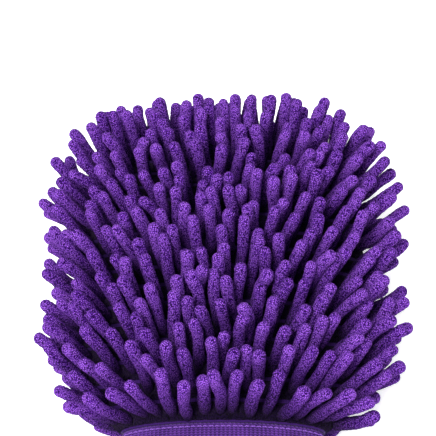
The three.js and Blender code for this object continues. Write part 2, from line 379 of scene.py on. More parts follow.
def rest_shapes(roots, normals, directions, lengths):
    """The curve that each finger would take alone: out of the fabric, then along its direction."""
    share = np.linspace(0, 1, FINGER_LINKS)[None, :, None]
    start = normals + 0.8 * directions
    start /= np.linalg.norm(start, axis=1, keepdims=True)
    reach = lengths[:, None, None]
    bent = reach * (share - share ** 2 / 2)
    straight = reach * share ** 2 / 2
    swing = rng.normal(0, 0.055, (len(roots), 1, 3))
    turns = rng.uniform(3, 6, (len(roots), 1, 1))
    sway = swing * reach * np.sin(share * turns)
    curve = roots[:, None] + start[:, None] * bent + directions[:, None] * straight + sway * share
    step = np.diff(curve, axis=1)
    step *= (lengths / (FINGER_LINKS - 1))[:, None, None] / np.linalg.norm(step, axis=2, keepdims=True)
    return np.concatenate([curve[:, :1], curve[:, :1] + np.cumsum(step, axis=1)], axis=1)


def close_pairs(points, owner, reach):
    """Pairs of links of different fingers that are nearer than reach."""
    found = []
    for start in range(0, len(points), 500):
        block = points[start:start + 500]
        gap = ((block[:, None] - points[None]) ** 2).sum(2)
        a, b = np.nonzero(gap < reach ** 2)
        a += start
        keep = (a < b) & (owner[a] != owner[b])
        found.append(np.stack([a[keep], b[keep]], 1))
    return np.concatenate(found)


def push_apart(points, pairs, mobility, distance):
    """Moves both links of each pair that is nearer than distance, by a limited step."""
    a, b = pairs[:, 0], pairs[:, 1]
    gap = points[b] - points[a]
    far = np.linalg.norm(gap, axis=1) + 1e-9
    overlap = np.maximum(distance - far, 0) * 0.5
    push = gap / far[:, None] * overlap[:, None]
    move = np.zeros_like(points)
    for axis in range(3):
        move[:, axis] = np.bincount(b, push[:, axis], len(points))
        move[:, axis] -= np.bincount(a, push[:, axis], len(points))
    limit = np.linalg.norm(move, axis=1, keepdims=True) / (1.2 * MM)
    points += move / np.maximum(limit, 1) * mobility[:, None]


def keep_outside(points, links, radius):
    """Moves links that are inside the body or the cuff back out to their surfaces."""
    y = points[:, 1]
    on_cuff = y < CUFF_SEAM_Y
    wide = np.where(on_cuff, CUFF_HALF_WIDTH, half_width(y)) + radius
    high = np.where(on_cuff, CUFF_HALF_HEIGHT, rise(y)) + radius
    centre = np.where(on_cuff, cuff_centre_z(y), SEAM_PLANE_Z)
    level = np.sqrt((points[:, 0] / wide) ** 2 + ((points[:, 2] - centre) / high) ** 2) + 1e-9
    inside = (level < 1) & (links > 1) & (y < FINGER_END_Y)
    scale = np.where(inside, 1 / level, 1)
    points[:, 0] *= scale
    points[:, 2] = centre + (points[:, 2] - centre) * scale


def settle(rest, radii):
    """Lets all fingers lean on each other, the body and the floor, and returns their links."""
    count, links = rest.shape[:2]
    shape = rest.copy()
    link = np.tile(np.arange(links), count)
    owner = np.repeat(np.arange(count), links)
    mobility = np.clip((link - 1) / 3, 0, 1)
    step_length = np.linalg.norm(rest[:, 1] - rest[:, 0], axis=1)[:, None]
    radius = float(np.mean(radii))
    for step in range(SETTLE_STEPS):
        shape[:, 2:] += (rest[:, 2:] - shape[:, 2:]) * SHAPE_PULL
        shape[:, 2:, 2] -= SAG_PER_STEP
        flat = shape.reshape(-1, 3)
        if step % 10 == 0:
            pairs = close_pairs(flat, owner, 3.4 * radius)
        push_apart(flat, pairs, mobility, 2.12 * radius)
        keep_outside(flat, link, radius)
        flat[:, 2] = np.where(link > 0, np.maximum(flat[:, 2], 0.85 * radius), flat[:, 2])
        shape = flat.reshape(count, links, 3)
        middle = (shape[:, 1:-2] + shape[:, 3:]) / 2
        shape[:, 2:-1] += BEND_STIFFNESS * (middle - shape[:, 2:-1])
        for k in range(1, links):
            along = shape[:, k] - shape[:, k - 1]
            along /= np.linalg.norm(along, axis=1, keepdims=True)
            shape[:, k] = shape[:, k - 1] + along * step_length
        shape[:, :2] = rest[:, :2]
    return shape


def smooth_curve(links, shares):
    """Catmull-Rom points at shares of the way along each finger's links."""
    before = 2 * links[:, :1] - links[:, 1:2]
    after = 2 * links[:, -1:] - links[:, -2:-1]
    padded_links = np.concatenate([before, links, after], 1)
    place = shares * (links.shape[1] - 1)
    k = np.minimum(place.astype(int), links.shape[1] - 2)
    t = (place - k)[None, :, None]
    p0, p1, p2, p3 = (padded_links[:, k + i] for i in range(4))
    return 0.5 * (2 * p1 + (p2 - p0) * t + (2 * p0 - 5 * p1 + 4 * p2 - p3) * t ** 2
                  + (3 * p1 - p0 - 3 * p2 + p3) * t ** 3)


def ring_shares(length, radius):
    """Shares of the length at which a finger has rings, closer together over its round tip."""
    tip_start = 1 - radius / length
    shaft = np.linspace(0, tip_start, SHAFT_RINGS)
    angle = np.linspace(0, np.pi / 2 * 0.97, TIP_RINGS + 1)[1:]
    return np.concatenate([shaft, tip_start + (1 - tip_start) * np.sin(angle)])


def ring_radii(shares, length, radius):
    """A finger is narrow at its neck, a little fuller near its end, and round at its tip."""
    tip = np.clip((shares * length - (length - radius)) / radius, 0, 1)
    neck = 0.72 + 0.28 * np.clip(shares / 0.22, 0, 1)
    bulb = 1 + 0.05 * np.sin(np.clip((shares - 0.6) / 0.4, 0, 1) * np.pi)
    return radius * neck * bulb * np.sqrt(np.maximum(1 - tip ** 2, 0))


def finger_skin(curve, radii):
    """Rings of points round one finger's curve, and how high the looped pile stands at each."""
    rings = len(curve)
    tangent = np.gradient(curve, axis=0)
    tangent /= np.linalg.norm(tangent, axis=1, keepdims=True)
    guide = np.cross(tangent[rings // 2], [0.31, 0.42, 0.85])
    side = guide - tangent * (tangent @ guide)[:, None]
    side /= np.linalg.norm(side, axis=1, keepdims=True)
    other = np.cross(tangent, side)
    twist = rng.uniform(-0.35, 0.35, (rings, FINGER_SIDES)) + 0.5 * (np.arange(rings) % 2)[:, None]
    angle = (np.arange(FINGER_SIDES) + twist) / FINGER_SIDES * 2 * np.pi
    along = np.linspace(0, 1, rings)[:, None]
    phase = rng.uniform(0, 2 * np.pi, 5)
    lumps = 0.04 * np.sin(along * rng.uniform(9, 16) + phase[0] + 1.3 * np.sin(angle + phase[1]))
    lumps += 0.03 * np.sin(2 * angle + along * 7 + phase[2])
    coils = 0.016 * np.sin(along * 2 * np.pi * 12 + angle + phase[3])
    fade = np.clip(radii / radii.max(), 0, 1)[:, None] ** 2
    pile = 0.5 + fade * rng.uniform(-0.5, 0.5, (rings, FINGER_SIDES))
    radius = radii[:, None] * (1 + lumps + coils) + GRAIN * (2 * pile - 1)
    slide = rng.uniform(-0.25, 0.25, (rings, FINGER_SIDES)) * 0.6 * MM * fade
    skin = curve[:, None] + slide[..., None] * tangent[:, None]
    skin += radius[..., None] * np.cos(angle)[..., None] * side[:, None]
    skin += radius[..., None] * np.sin(angle)[..., None] * other[:, None]
    skin[..., 2] = np.maximum(skin[..., 2], (0.1 + 0.2 * pile) * MM)
    points, faces = swept(skin)
    reach = np.broadcast_to(along, pile.shape)
    return points, faces, pile.ravel(), reach.ravel()


def row_tape(face, index):
    """The woven tape that a row's fingers are sewn to, lying on the backing."""
    middle = CUFF_SEAM_Y + (index + 0.5) * ROW_PITCH
    ys = np.linspace(middle - 5.4 * MM, middle + 5.4 * MM, 9)
    lifts = np.array([0.1, 0.75, 0.95, 0.85, 0.8, 0.85, 0.95, 0.75, 0.1]) * MM
    sections = []
    for y, lift in zip(ys, lifts):
        y = min(float(y), FINGER_END_Y - 0.3 * MM)
        angles = even_angles(float(half_width(y)), float(rise(y)), 0.03, np.pi - 0.03, 90)
        outline = []
        for depth, turn in ((lift, angles), (-0.1 * MM, angles[::-1])):
            x = (half_width(y) + depth) * np.cos(turn)
            z = SEAM_PLANE_Z + face * (rise(y) + depth) * np.sin(turn)
            outline.append(np.stack([x, np.full_like(x, y), z], 1))
        sections.append(np.concatenate(outline))
    sections = np.array(sections)
    return swept(sections if face == BACK else sections[::-1])


def side_name(face):
    return "front" if face == FRONT else "back"


def store(piece, name, values):
    """Keeps one number for each point of a piece, for its material to read."""
    attribute = piece.data.attributes.new(name, "FLOAT", "POINT")
    attribute.data.foreach_set("value", np.concatenate(values).astype(np.float32))


def finger_sizes(roots, rows):
    """Each finger's length and radius. Those at the sides, the end and the back are shorter."""
    lengths = FINGER_LENGTH * np.clip(rng.normal(1, 0.08, len(roots)), 0.84, 1.09)
    radii = FINGER_DIAMETER / 2 * rng.normal(1, 0.045, len(roots))
    backs = np.array([face == BACK for face, _ in rows])
    lengths *= np.where(backs, 0.85, 1) * np.where(roots[:, 1] > 112 * MM, 0.9, 1)
    edge = np.abs(roots[:, 0] / half_width(roots[:, 1])) ** 5
    near_cuff = np.clip((30 * MM - roots[:, 1]) / (60 * MM), 0, 1)
    lengths *= 1 - edge * (0.10 + 0.15 * near_cuff)
    return lengths, radii


def build_row(face, index, fingers, material):
    """One piece from a row's tape and its fingers, each given as links, length, radius and tone."""
    parts = [row_tape(face, index)]
    # The tape gets zero tone, pile and reach, so the pile material gives it its darkest colour:
    # painted shade under the fingers.
    tape = np.zeros(len(parts[0][0]))
    tones, pile, reach = [tape], [tape], [tape]
    for links, length, radius, tone in fingers:
        shares = ring_shares(length, radius)
        curve = smooth_curve(links[None], shares)[0]
        skin, faces, heights, reaches = finger_skin(curve, ring_radii(shares, length, radius))
        parts.append((skin, faces))
        tones.append(np.full(len(skin), tone))
        pile.append(heights)
        reach.append(reaches)
    points, faces = joined(parts)
    name = f"{side_name(face)}_row_{index + 1:02d}_soft_fingers"
    node = f"{side_name(face)}_chenille_row_{index + 1:02d}"
    piece = add_piece(name, points, faces, material, MITT, [node])
    store(piece, "tone", tones)
    store(piece, "pile", pile)
    store(piece, "reach", reach)


def build_chenille(material):
    roots, normals, directions, rows = plant_fingers()
    lengths, radii = finger_sizes(roots, rows)
    links = settle(rest_shapes(roots, normals, directions, lengths), radii)
    tones = rng.uniform(0, 1, len(roots))
    fingers = list(zip(links, lengths, radii, tones))
    for face in (FRONT, BACK):
        for index in range(ROWS_PER_FACE):
            members = [finger for finger, row in zip(fingers, rows) if row == (face, index)]
            build_row(face, index, members, material)


# --- panels: backing, foam and lining ---

def seam_flare(y):
    """1 at the cuff seam, falling to 0 where the lining has come in to its own depth."""
    return 0.5 + 0.5 * math.cos(math.pi * min((y - CUFF_SEAM_Y) / LINING_FLARE, 1))


def panel(face, side_depths, face_depths, ys, columns, relief, seam_depth=None):
    """A curved sheet over one face of the body, between two depths below its outer face.

    A seam_depth is the depth that the sheet comes out to where it is sewn into the cuff seam.
    """
    layers = []
    for side_depth, face_depth in zip(side_depths, face_depths):
        layer = []
        for y in ys:
            side, below = side_depth, face_depth
            if seam_depth:
                flare = seam_flare(y)
                at_seam = seam_depth + face_depth - face_depths[0]
                side, below = side + (at_seam - side) * flare, below + (at_seam - below) * flare
            wide, high = float(half_width(y, side)), float(rise(y, below))
            angle = even_angles(wide, high, 0, np.pi, columns)
            lift = relief(angle, y)
            x = (wide + lift) * np.cos(angle)
            z = SEAM_PLANE_Z + face * (0.15 * MM + (high + lift) * np.sin(angle))
            layer.append(np.stack([x, np.full_like(x, y), z], 1))
        layers.append(np.array(layer))
    sections = np.concatenate([layers[0], layers[1][:, ::-1]], axis=1)
    return swept(sections if face == BACK else sections[::-1])


def pleats(angle, y):
    """Gathers of the backing, deepest where it is sewn to the cuff."""
    return -0.35 * MM * (1 - openness(y)) * (1 + np.sin(46 * angle))


def puckers(angle, y):
    """Slack places in the lining cloth."""
    return 0.18 * MM * np.sin(9 * angle + 260 * y) * np.sin(70 * y + 2 * angle)


def rough_cells(angle, y):
    """The uneven surface of cut foam."""
    return rng.normal(0, 0.06 * MM, np.shape(angle))


def build_backing(face, material):
    side = side_name(face)
    ys = np.linspace(CUFF_SEAM_Y, FINGER_END_Y, 90)
    points, faces = panel(face, BACKING_DEPTHS, BACKING_DEPTHS, ys, 150, pleats)
    backing = add_piece(f"{side}_woven_backing", points, faces, material, MITT,
                        [f"{side}_backing"])


def build_foam(face, material):
    side = side_name(face)
    ys = np.linspace(CUFF_SEAM_Y + LINING_FLARE, LAYER_END_Y, 80)
    points, faces = panel(face, FOAM_SIDE_DEPTHS, FOAM_FACE_DEPTHS, ys, 90, rough_cells)
    foam = add_piece(f"{side}_foam_sheet", points, faces, material, MITT,
                     [f"{side}_foam_pad"])


def build_lining(face, material):
    side = side_name(face)
    ys = np.linspace(CUFF_SEAM_Y, LAYER_END_Y, 110)
    points, faces = panel(face, LINING_SIDE_DEPTHS, LINING_FACE_DEPTHS, ys, 110, puckers,
                          LINING_SEAM_DEPTH)
    lining = add_piece(f"{side}_lining_cloth", points, faces, material, MITT,
                       [f"{side}_pocket_lining"])


def build_panels(materials):
    for face in (FRONT, BACK):
        build_backing(face, materials["backing_fabric"])
        build_foam(face, materials["foam"])
        build_lining(face, materials["lining_fabric"])


# --- cuff ---

def cuff_wave(angle, y):
    """Soft undulation of the sleeve, growing towards its mouth and still at its two sides."""
    share = np.clip((CUFF_SEAM_Y - y) / (CUFF_SEAM_Y - CUFF_MOUTH_Y), 0, 1)
    swell = np.sin(5 * angle + 0.9) + 0.7 * np.sin(8 * angle + 35 * y) + 0.5 * np.sin(13 * angle + 2)
    return 0.55 * MM * share * np.abs(np.sin(angle)) * swell


def cuff_points(depth, y, angle):
    """Points at a depth under the cuff's outer face."""
    inset = depth - cuff_wave(angle, y)
    x = (CUFF_HALF_WIDTH - inset) * np.cos(angle)
    z = cuff_centre_z(y) + (CUFF_HALF_HEIGHT - inset) * np.sin(angle)
    return np.stack([x, np.full_like(x, y), z], -1)


def cuff_profile():
    """The folded sleeve's closed outline: [depth, y, share of rib relief] round the section."""
    seam, fold = CUFF_SEAM_Y - 0.3 * MM, CUFF_MOUTH_Y + KNIT_THICKNESS
    outer = [(0, y, 1) for y in np.linspace(seam, fold, 46)]
    turn = np.linspace(0, np.pi, 11)[1:-1]
    half = CUFF_WALL / 2
    bend = [(half - half * np.cos(t), fold - KNIT_THICKNESS * np.sin(t), 0.8) for t in turn]
    inner = [(CUFF_WALL, y, 1) for y in np.linspace(fold, seam, 40)]
    inside = [(CUFF_WALL - KNIT_THICKNESS, y, 0) for y in np.linspace(seam, fold, 10)]
    outside = [(KNIT_THICKNESS, y, 0) for y in np.linspace(fold, seam, 10)]
    return outer + bend + inner + inside + outside


def cuff_relief(angle, y, turned_in):
    """Ribs along the sleeve, pinched by the two stitched lines and gathered by the elastic."""
    count = len(angle)
    rib = (0.5 - 0.5 * np.cos(np.arange(count) / count * 2 * np.pi * RIBS)) ** 1.4
    depth = RIB_RELIEF * rib
    for line in (HEM_STITCH_Y, JOIN_STITCH_Y):
        depth = depth + 0.4 * MM * math.exp(-((y - line) / (1.3 * MM)) ** 2)
    gather = np.clip((HEM_STITCH_Y - y) / (20 * MM), 0, 1)
    depth = depth + 0.2 * MM * gather * (1 + np.sin(27 * angle + 40 * y))
    return -depth if turned_in else depth


def build_cuff(material):
    around = RIBS * VERTICES_PER_RIB
    angle = even_angles(CUFF_HALF_WIDTH, CUFF_HALF_HEIGHT, 0, 2 * np.pi, around + 1)[:-1]
    sections = []
    for depth, y, share in cuff_profile():
        turned_in = depth > CUFF_WALL / 2
        sections.append(cuff_points(depth + share * cuff_relief(angle, y, turned_in), y, angle))
    points, faces = swept(np.array(sections), closed_path=True)
    piece = add_piece("ribbed_knit_cuff", points, faces, material, MITT, ["rib_knit_cuff"])
    half = VERTICES_PER_RIB / 2
    from_rib = np.abs(np.arange(around) % VERTICES_PER_RIB - half) / half
    store(piece, "from_rib", [from_rib] * len(sections))


def band(name, depths, ys, material, node, waves):
    """A flat band round the sleeve, with a slight wave across it."""
    angle = even_angles(CUFF_HALF_WIDTH, CUFF_HALF_HEIGHT, 0, 2 * np.pi, 361)[:-1]
    lines = np.linspace(ys[0], ys[1], 16)
    profile = [(depths[0], y) for y in lines] + [(depths[1], y) for y in lines[::-1]]
    sections = [cuff_points(d + waves * np.sin(angle * 60 + y * 900), y, angle) for d, y in profile]
    points, faces = swept(np.array(sections)[::-1], closed_path=True)
    return add_piece(name, points, faces, material, MITT, [node])


# --- thread ---

def thread_tube(path, radius, sides=8):
    """A thin tube along a short path."""
    path = np.asarray(path, float)
    tangent = np.gradient(path, axis=0)
    tangent /= np.linalg.norm(tangent, axis=1, keepdims=True)
    guide = np.array([0.2, 0.9, 0.4])
    side = np.cross(tangent, guide)
    side /= np.linalg.norm(side, axis=1, keepdims=True)
    other = np.cross(tangent, side)
    angle = np.arange(sides) / sides * 2 * np.pi
    size = radius * np.sqrt(np.clip(1 - np.linspace(-1, 1, len(path)) ** 8, 0.12, 1))
    skin = path[:, None] + size[:, None, None] * (
        np.cos(angle)[None, :, None] * side[:, None] + np.sin(angle)[None, :, None] * other[:, None]
    )
    return swept(skin)


def stitched_ring(y):
    """A line of separate stitches all round the sleeve, each dipping into the knit at its ends."""
    angles = even_angles(CUFF_HALF_WIDTH, CUFF_HALF_HEIGHT, 0, 2 * np.pi, STITCHES_ROUND * 12 + 1)
    tubes = []
    for i in range(STITCHES_ROUND):
        angle = angles[i * 12 + 1:i * 12 + 12]
        lift = 0.85 * MM * np.sin(np.linspace(0, np.pi, len(angle))) ** 0.5 - 0.55 * MM
        tubes.append(thread_tube(cuff_points(-lift, y, angle), 0.4 * MM))
    return joined(tubes)


def bar_tack(side, y, width):
    """Close satin stitches over both faces of a tape where it enters the cuff's edge."""
    x = side * (CUFF_HALF_WIDTH + 0.9 * MM)
    tubes = []
    count = int(width / (0.62 * MM))
    for face in (1, -1):
        for i in range(count):
            across = y + width * ((i + 0.5) / count - 0.5)
            reach = np.linspace(-1, 1, 9)
            path = np.stack([
                x + side * 1.25 * MM * reach,
                across + 0.28 * MM * reach,
                cuff_centre_z(y) + face * (1.35 - 0.35 * np.abs(reach) ** 3) * MM,
            ], 1)
            tubes.append(thread_tube(path, 0.3 * MM))
    return joined(tubes)


def build_threads(material):
    threads = (
        ("join_stitches", stitched_ring(JOIN_STITCH_Y), "cuff_join_stitching"),
        ("hem_stitches", stitched_ring(HEM_STITCH_Y), "cuff_hem_stitching"),
        ("loop_tack_stitches", bar_tack(1, LOOP_Y, LOOP_WIDTH), "hang_loop_bar_tack"),
        ("label_tack_stitches", bar_tack(-1, LABEL_Y, LABEL_WIDTH), "care_label_stitching"),
    )
    for name, (points, faces), node in threads:
        add_piece(name, points, faces, material, MITT, [node])


# --- hanging loop and label ---

def tape_section(centre, normal, width, thickness, columns=15):
    """A rounded flat section of tape: across Y, with thickness along the normal."""
    across = np.linspace(-1, 1, columns)
    rounding = np.sqrt(np.clip(1 - np.abs(across) ** 14, 0.1, 1))
    half = thickness / 2 * rounding * (1 + 0.12 * np.abs(across) ** 6)
    sideways = np.outer(across * width / 2, [0, 1, 0])
    top = centre + normal * half[:, None] + sideways
    low = centre - normal * half[:, None] + sideways
    return np.concatenate([top, low[::-1]])


def loop_path():
    """The folded tape's centre line in X and Z, out along its lower leg and back along the upper."""
    x = np.concatenate([[TAPE_ROOT_X], HINGE_X + np.array([0, 2.5, 9, 18, 27]) * MM])
    high = np.array([0.6, 0.6, 0.75, 2.4, 4.2, 4.6]) * MM
    turn = np.linspace(-np.pi / 2, np.pi / 2, 15)
    round_x = LOOP_END_X - 6.2 * MM + 5.6 * MM * np.cos(turn)
    round_z = LOOP_HALF_HEIGHT * np.sin(turn)
    line_x = np.concatenate([x, round_x, x[::-1]])
    line_z = np.concatenate([-high, round_z, high[::-1]])
    links = np.stack([line_x, np.zeros_like(line_x), line_z], 1)
    return smooth_curve(links[None], np.linspace(0, 1, 130))[0]


def build_loop(material):
    path = loop_path()
    tangent = np.gradient(path, axis=0)
    tangent /= np.linalg.norm(tangent, axis=1, keepdims=True)
    normal = np.cross(tangent, [0, 1, 0])
    place = np.array([0, LOOP_Y, float(cuff_centre_z(LOOP_Y))])
    sections = [tape_section(p + place, n, LOOP_WIDTH, LOOP_THICKNESS) for p, n in zip(path, normal)]
    points, faces = swept(np.array(sections))
    piece = add_piece("webbing_loop", points, faces, material, None, ["hang_loop"])
    blend_at_hinge(piece)


def blend_at_hinge(piece):
    """Bakes the piece's world transform into its mesh."""
    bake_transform(piece)


def build_label(material):
    start = TAPE_ROOT_X
    steps = np.linspace(0, 1, 60)
    x = -(start + (LABEL_LENGTH + HINGE_X - start) * steps)
    z = cuff_centre_z(LABEL_Y) - LABEL_SAG * np.clip((-x - HINGE_X) / LABEL_LENGTH, 0, 1) ** 2
    z = z + 0.25 * MM * np.sin(steps * 9) * steps
    path = np.stack([x, np.full_like(x, LABEL_Y), z], 1)
    tangent = np.gradient(path, axis=0)
    tangent /= np.linalg.norm(tangent, axis=1, keepdims=True)
    normal = np.cross([0, 1, 0], tangent)
    sections = [tape_section(p, n, LABEL_WIDTH, LABEL_THICKNESS, 21) for p, n in zip(path, normal)]
    sections = np.array(sections)
    curl = 0.5 * MM * ((sections[:, :, 1] - LABEL_Y) / (LABEL_WIDTH / 2)) ** 2
    sections[:, :, 2] += curl * steps[:, None]
    points, faces = swept(sections)
    piece = add_piece("blank_satin_label", points, faces, material, None, ["care_label"])
    blend_at_hinge(piece)


# --- side seam ---

def seam_line(inset, count=150):
    """Points along the side seam in plan, at an inset from the body's edge."""
    corner = np.array([BODY_HALF_WIDTH - FINGER_CORNER_RADIUS, FINGER_END_Y - FINGER_CORNER_RADIUS])
    ys = np.linspace(CUFF_SEAM_Y + ROW_PITCH / 2, corner[1], 60)[:-1]
    side = np.stack([half_width(ys) - inset, ys], 1)
    turn = np.linspace(0, np.pi / 2, 24)[:, None]
    reach = FINGER_CORNER_RADIUS - inset
    round_part = corner + reach * np.concatenate([np.cos(turn), np.sin(turn)], 1)
    right = np.concatenate([side, round_part])
    line = np.concatenate([right, right[::-1] * [-1, 1]])
    along = np.concatenate([[0], np.cumsum(np.linalg.norm(np.diff(line, axis=0), axis=1))])
    even = np.linspace(0, along[-1], count)
    return np.stack([np.interp(even, along, line[:, 0]), np.interp(even, along, line[:, 1])], 1)


def build_side_seam(material):
    """The turned-in allowance with its overlock thread wound over the cut edge."""
    outer, inner = (seam_line(inset) for inset in ALLOWANCE_INSETS)
    low, high = SEAM_PLANE_Z - ALLOWANCE_HALF_THICKNESS, SEAM_PLANE_Z + ALLOWANCE_HALF_THICKNESS
    sections = [[[*a, low], [*b, low], [*b, high], [*a, high]] for a, b in zip(outer, inner)]
    parts = [swept(np.array(sections))]
    count = OVERLOCK_WINDS * POINTS_PER_WIND
    middle, edge = (seam_line(inset, count) for inset in OVERLOCK_INSETS)
    phase = np.arange(count) / POINTS_PER_WIND * 2 * np.pi
    share = (0.5 + 0.5 * np.cos(phase))[:, None]
    flat = middle + (edge - middle) * share
    path = np.column_stack([flat, SEAM_PLANE_Z + 0.95 * MM * np.sin(phase)])
    parts.append(thread_tube(path, 0.25 * MM, 6))
    points, faces = joined(parts)
    add_piece("overlocked_seam_allowance", points, faces, material, MITT,
              ["side_seam_allowance"])


# --- materials ---

def linear(colour):
    """A colour given as sRGB shares, as the shader takes it."""
    return [c / 12.92 if c <= 0.04045 else ((c + 0.055) / 1.055) ** 2.4 for c in colour] + [1]


class Nodes:
    """A short way to build a material's node tree."""

    def __init__(self, name):
        self.material = bpy.data.materials.new(name)
        self.material.use_nodes = True
        self.tree = self.material.node_tree
        self.shader = self.tree.nodes["Principled BSDF"]
        self.place = self.add("ShaderNodeTexCoord").outputs["Object"]

    def add(self, kind, inputs=None, **settings):
        node = self.tree.nodes.new(kind)
        for key, value in settings.items():
            setattr(node, key, value)
        for key, value in (inputs or {}).items():
            self.put(node.inputs[key], value)
        return node

    def put(self, socket, value):
        if isinstance(value, bpy.types.NodeSocket):
            self.tree.links.new(value, socket)
        else:
            socket.default_value = value

    def noise(self, scale, detail=2.0, roughness=0.5):
        inputs = {"Vector": self.place, "Scale": scale, "Detail": detail, "Roughness": roughness}
        return self.add("ShaderNodeTexNoise", inputs).outputs["Fac"]

    def cells(self, scale, feature="F1"):
        inputs = {"Vector": self.place, "Scale": scale}
        node = self.add("ShaderNodeTexVoronoi", inputs, feature=feature)
        return node.outputs["Distance"]

    def math(self, operation, a, b=0.0):
        node = self.add("ShaderNodeMath", {0: a, 1: b}, operation=operation)
        return node.outputs[0]

    def weighted(self, *terms):
        """The sum of values, each given with its weight."""
        total, *others = (self.math("MULTIPLY", value, weight) for value, weight in terms)
        for other in others:
            total = self.math("ADD", total, other)
        return total

    def ramp(self, value, stops):
        node = self.add("ShaderNodeValToRGB", {"Fac": value})
        elements = node.color_ramp.elements
        while len(elements) < len(stops):
            elements.new(0.5)
        for element, (position, colour) in zip(elements, stops):
            element.position = position
            element.color = linear(colour)
        return node.outputs["Color"]

    def tinted(self, colour, factor):
        """One colour multiplied by another."""
        node = self.add("ShaderNodeMix", data_type="RGBA", blend_type="MULTIPLY")
        self.put(node.inputs[0], 1.0)
        self.put(node.inputs[6], colour)
        self.put(node.inputs[7], factor)
        return node.outputs[2]

    def wave(self, direction, pitch, distortion=0.0):
        inputs = {"Vector": self.place, "Scale": math.pi / 10 / pitch, "Distortion": distortion}
        node = self.add("ShaderNodeTexWave", inputs, bands_direction=direction)
        return node.outputs["Fac"]

    def finish(self, colour, height, distance, roughness, sheen=0.0, tint=(1, 1, 1), specular=0.1):
        bump = self.add("ShaderNodeBump", {"Height": height, "Distance": distance, "Strength": 1.0})
        self.put(self.shader.inputs["Normal"], bump.outputs["Normal"])
        self.put(self.shader.inputs["Base Color"], colour)
        self.put(self.shader.inputs["Roughness"], roughness)
        self.shader.inputs["Specular IOR Level"].default_value = specular
        self.shader.inputs["Sheen Weight"].default_value = sheen
        self.shader.inputs["Sheen Roughness"].default_value = 0.45
        self.shader.inputs["Sheen Tint"].default_value = (*tint, 1)
        return self.material


def chenille_material():
    """Looped microfibre pile: bright loops between small dark pits, fading to dark at the roots. The
    dark pits and the dark roots are painted shade and the pale loop tops a painted highlight; the fine
    fuzz, the tone of each finger and the patches are the yarn's own uneven colour.
    """
    m = Nodes("chenille_microfibre")
    tone, pile, reach = (
        m.add("ShaderNodeAttribute", attribute_name=name).outputs["Fac"]
        for name in ("tone", "pile", "reach")
    )
    patches = m.noise(45, 2)
    mounds = m.math("SUBTRACT", 1.0, m.cells(LOOPS_PER_METRE))
    edges = m.math("MULTIPLY", m.cells(LOOPS_PER_METRE, "DISTANCE_TO_EDGE"), 4.5)
    clefts = m.math("MINIMUM", edges, 1.0)
    loops = m.weighted((mounds, 0.6), (clefts, 0.4))
    fuzz = m.noise(2600, 2, 0.6)
    # Painted shade and highlight: the loops and the pile height darken the pits and low points and
    # lighten the loop tops; fuzz, tone and patches add the yarn's own uneven colour.
    shade = m.weighted((loops, 0.80), (pile, 0.14), (fuzz, 0.20), (tone, 0.10), (patches, 0.10))
    colour = m.ramp(shade, [
        (0.46, (0.11, 0.01, 0.22)),
        (0.61, (0.29, 0.08, 0.54)),
        (0.75, (0.47, 0.19, 0.77)),
        (0.95, (0.74, 0.46, 0.99)),
    ])
    # Painted shade: each finger's colour darkens from near its tip down to its root, where the fingers
    # shade each other.
    depth = m.ramp(reach, [
        (0.0, (0.20, 0.14, 0.24)),
        (0.45, (0.68, 0.63, 0.71)),
        (0.88, (1.0, 1.0, 1.0)),
    ])
    height = m.math("ADD", loops, m.math("MULTIPLY", fuzz, 0.4))
    return m.finish(m.tinted(colour, depth), height, 1.2 * MM, 0.95,
                    sheen=0.05, tint=(0.75, 0.5, 0.95), specular=0.03)


def woven_material(name, dark, light, pitch, roughness):
    """Plain weave: two crossed sets of threads with small differences between them."""
    m = Nodes(name)
    threads = m.math("MAXIMUM", m.wave("X", pitch), m.wave("Y", pitch))
    shade = m.weighted((threads, 0.55), (m.noise(600, 2), 0.45))
    colour = m.ramp(shade, [(0.2, dark), (0.85, light)])
    return m.finish(colour, threads, 0.12 * MM, roughness, sheen=0.1)


def knit_material():
    """Rib knit: a column of V-shaped stitches on every rib, with a light bloom of fibre, and painted
    shade in the grooves between the ribs.
    """
    m = Nodes("rib_knit_yarn")
    from_rib = m.add("ShaderNodeAttribute", attribute_name="from_rib").outputs["Fac"]
    along = m.add("ShaderNodeSeparateXYZ", {"Vector": m.place}).outputs["Y"]
    turn = m.math("MULTIPLY", along, 2 * math.pi / KNIT_STITCH)
    turn = m.math("ADD", turn, m.math("MULTIPLY", from_rib, STITCH_SLANT))
    stitches = m.math("ABSOLUTE", m.math("SINE", m.math("MULTIPLY", turn, 0.5)))
    fibre = m.noise(1700, 3, 0.65)
    patches = m.noise(60, 3)
    shade = m.weighted((stitches, 0.30), (fibre, 0.42), (patches, 0.28))
    # Painted shade: darker towards the grooves between the ribs.
    shade = m.math("SUBTRACT", shade, m.math("MULTIPLY", from_rib, 0.20))
    colour = m.ramp(shade, [(0.28, (0.13, 0.05, 0.24)), (0.72, (0.42, 0.24, 0.62))])
    height = m.weighted((stitches, 0.6), (fibre, 0.5))
    return m.finish(colour, height, 0.35 * MM, 0.92, sheen=0.1, tint=(0.75, 0.6, 0.95))


def foam_material():
    """Pale foam with small open cells."""
    m = Nodes("open_cell_foam")
    cells = m.cells(900)
    colour = m.ramp(cells, [(0.05, (0.95, 0.93, 0.86)), (0.6, (0.72, 0.69, 0.58))])
    return m.finish(colour, m.math("MULTIPLY", cells, -1.0), 0.4 * MM, 0.95)


def thread_material():
    """Twisted polyester thread, with a fine diagonal ply."""
    m = Nodes("polyester_thread")
    ply = m.wave("DIAGONAL", 0.7 * MM, 0.5)
    colour = m.ramp(ply, [(0.1, (0.34, 0.18, 0.54)), (0.9, (0.56, 0.38, 0.76))])
    return m.finish(colour, ply, 0.08 * MM, 0.55, sheen=0.05)


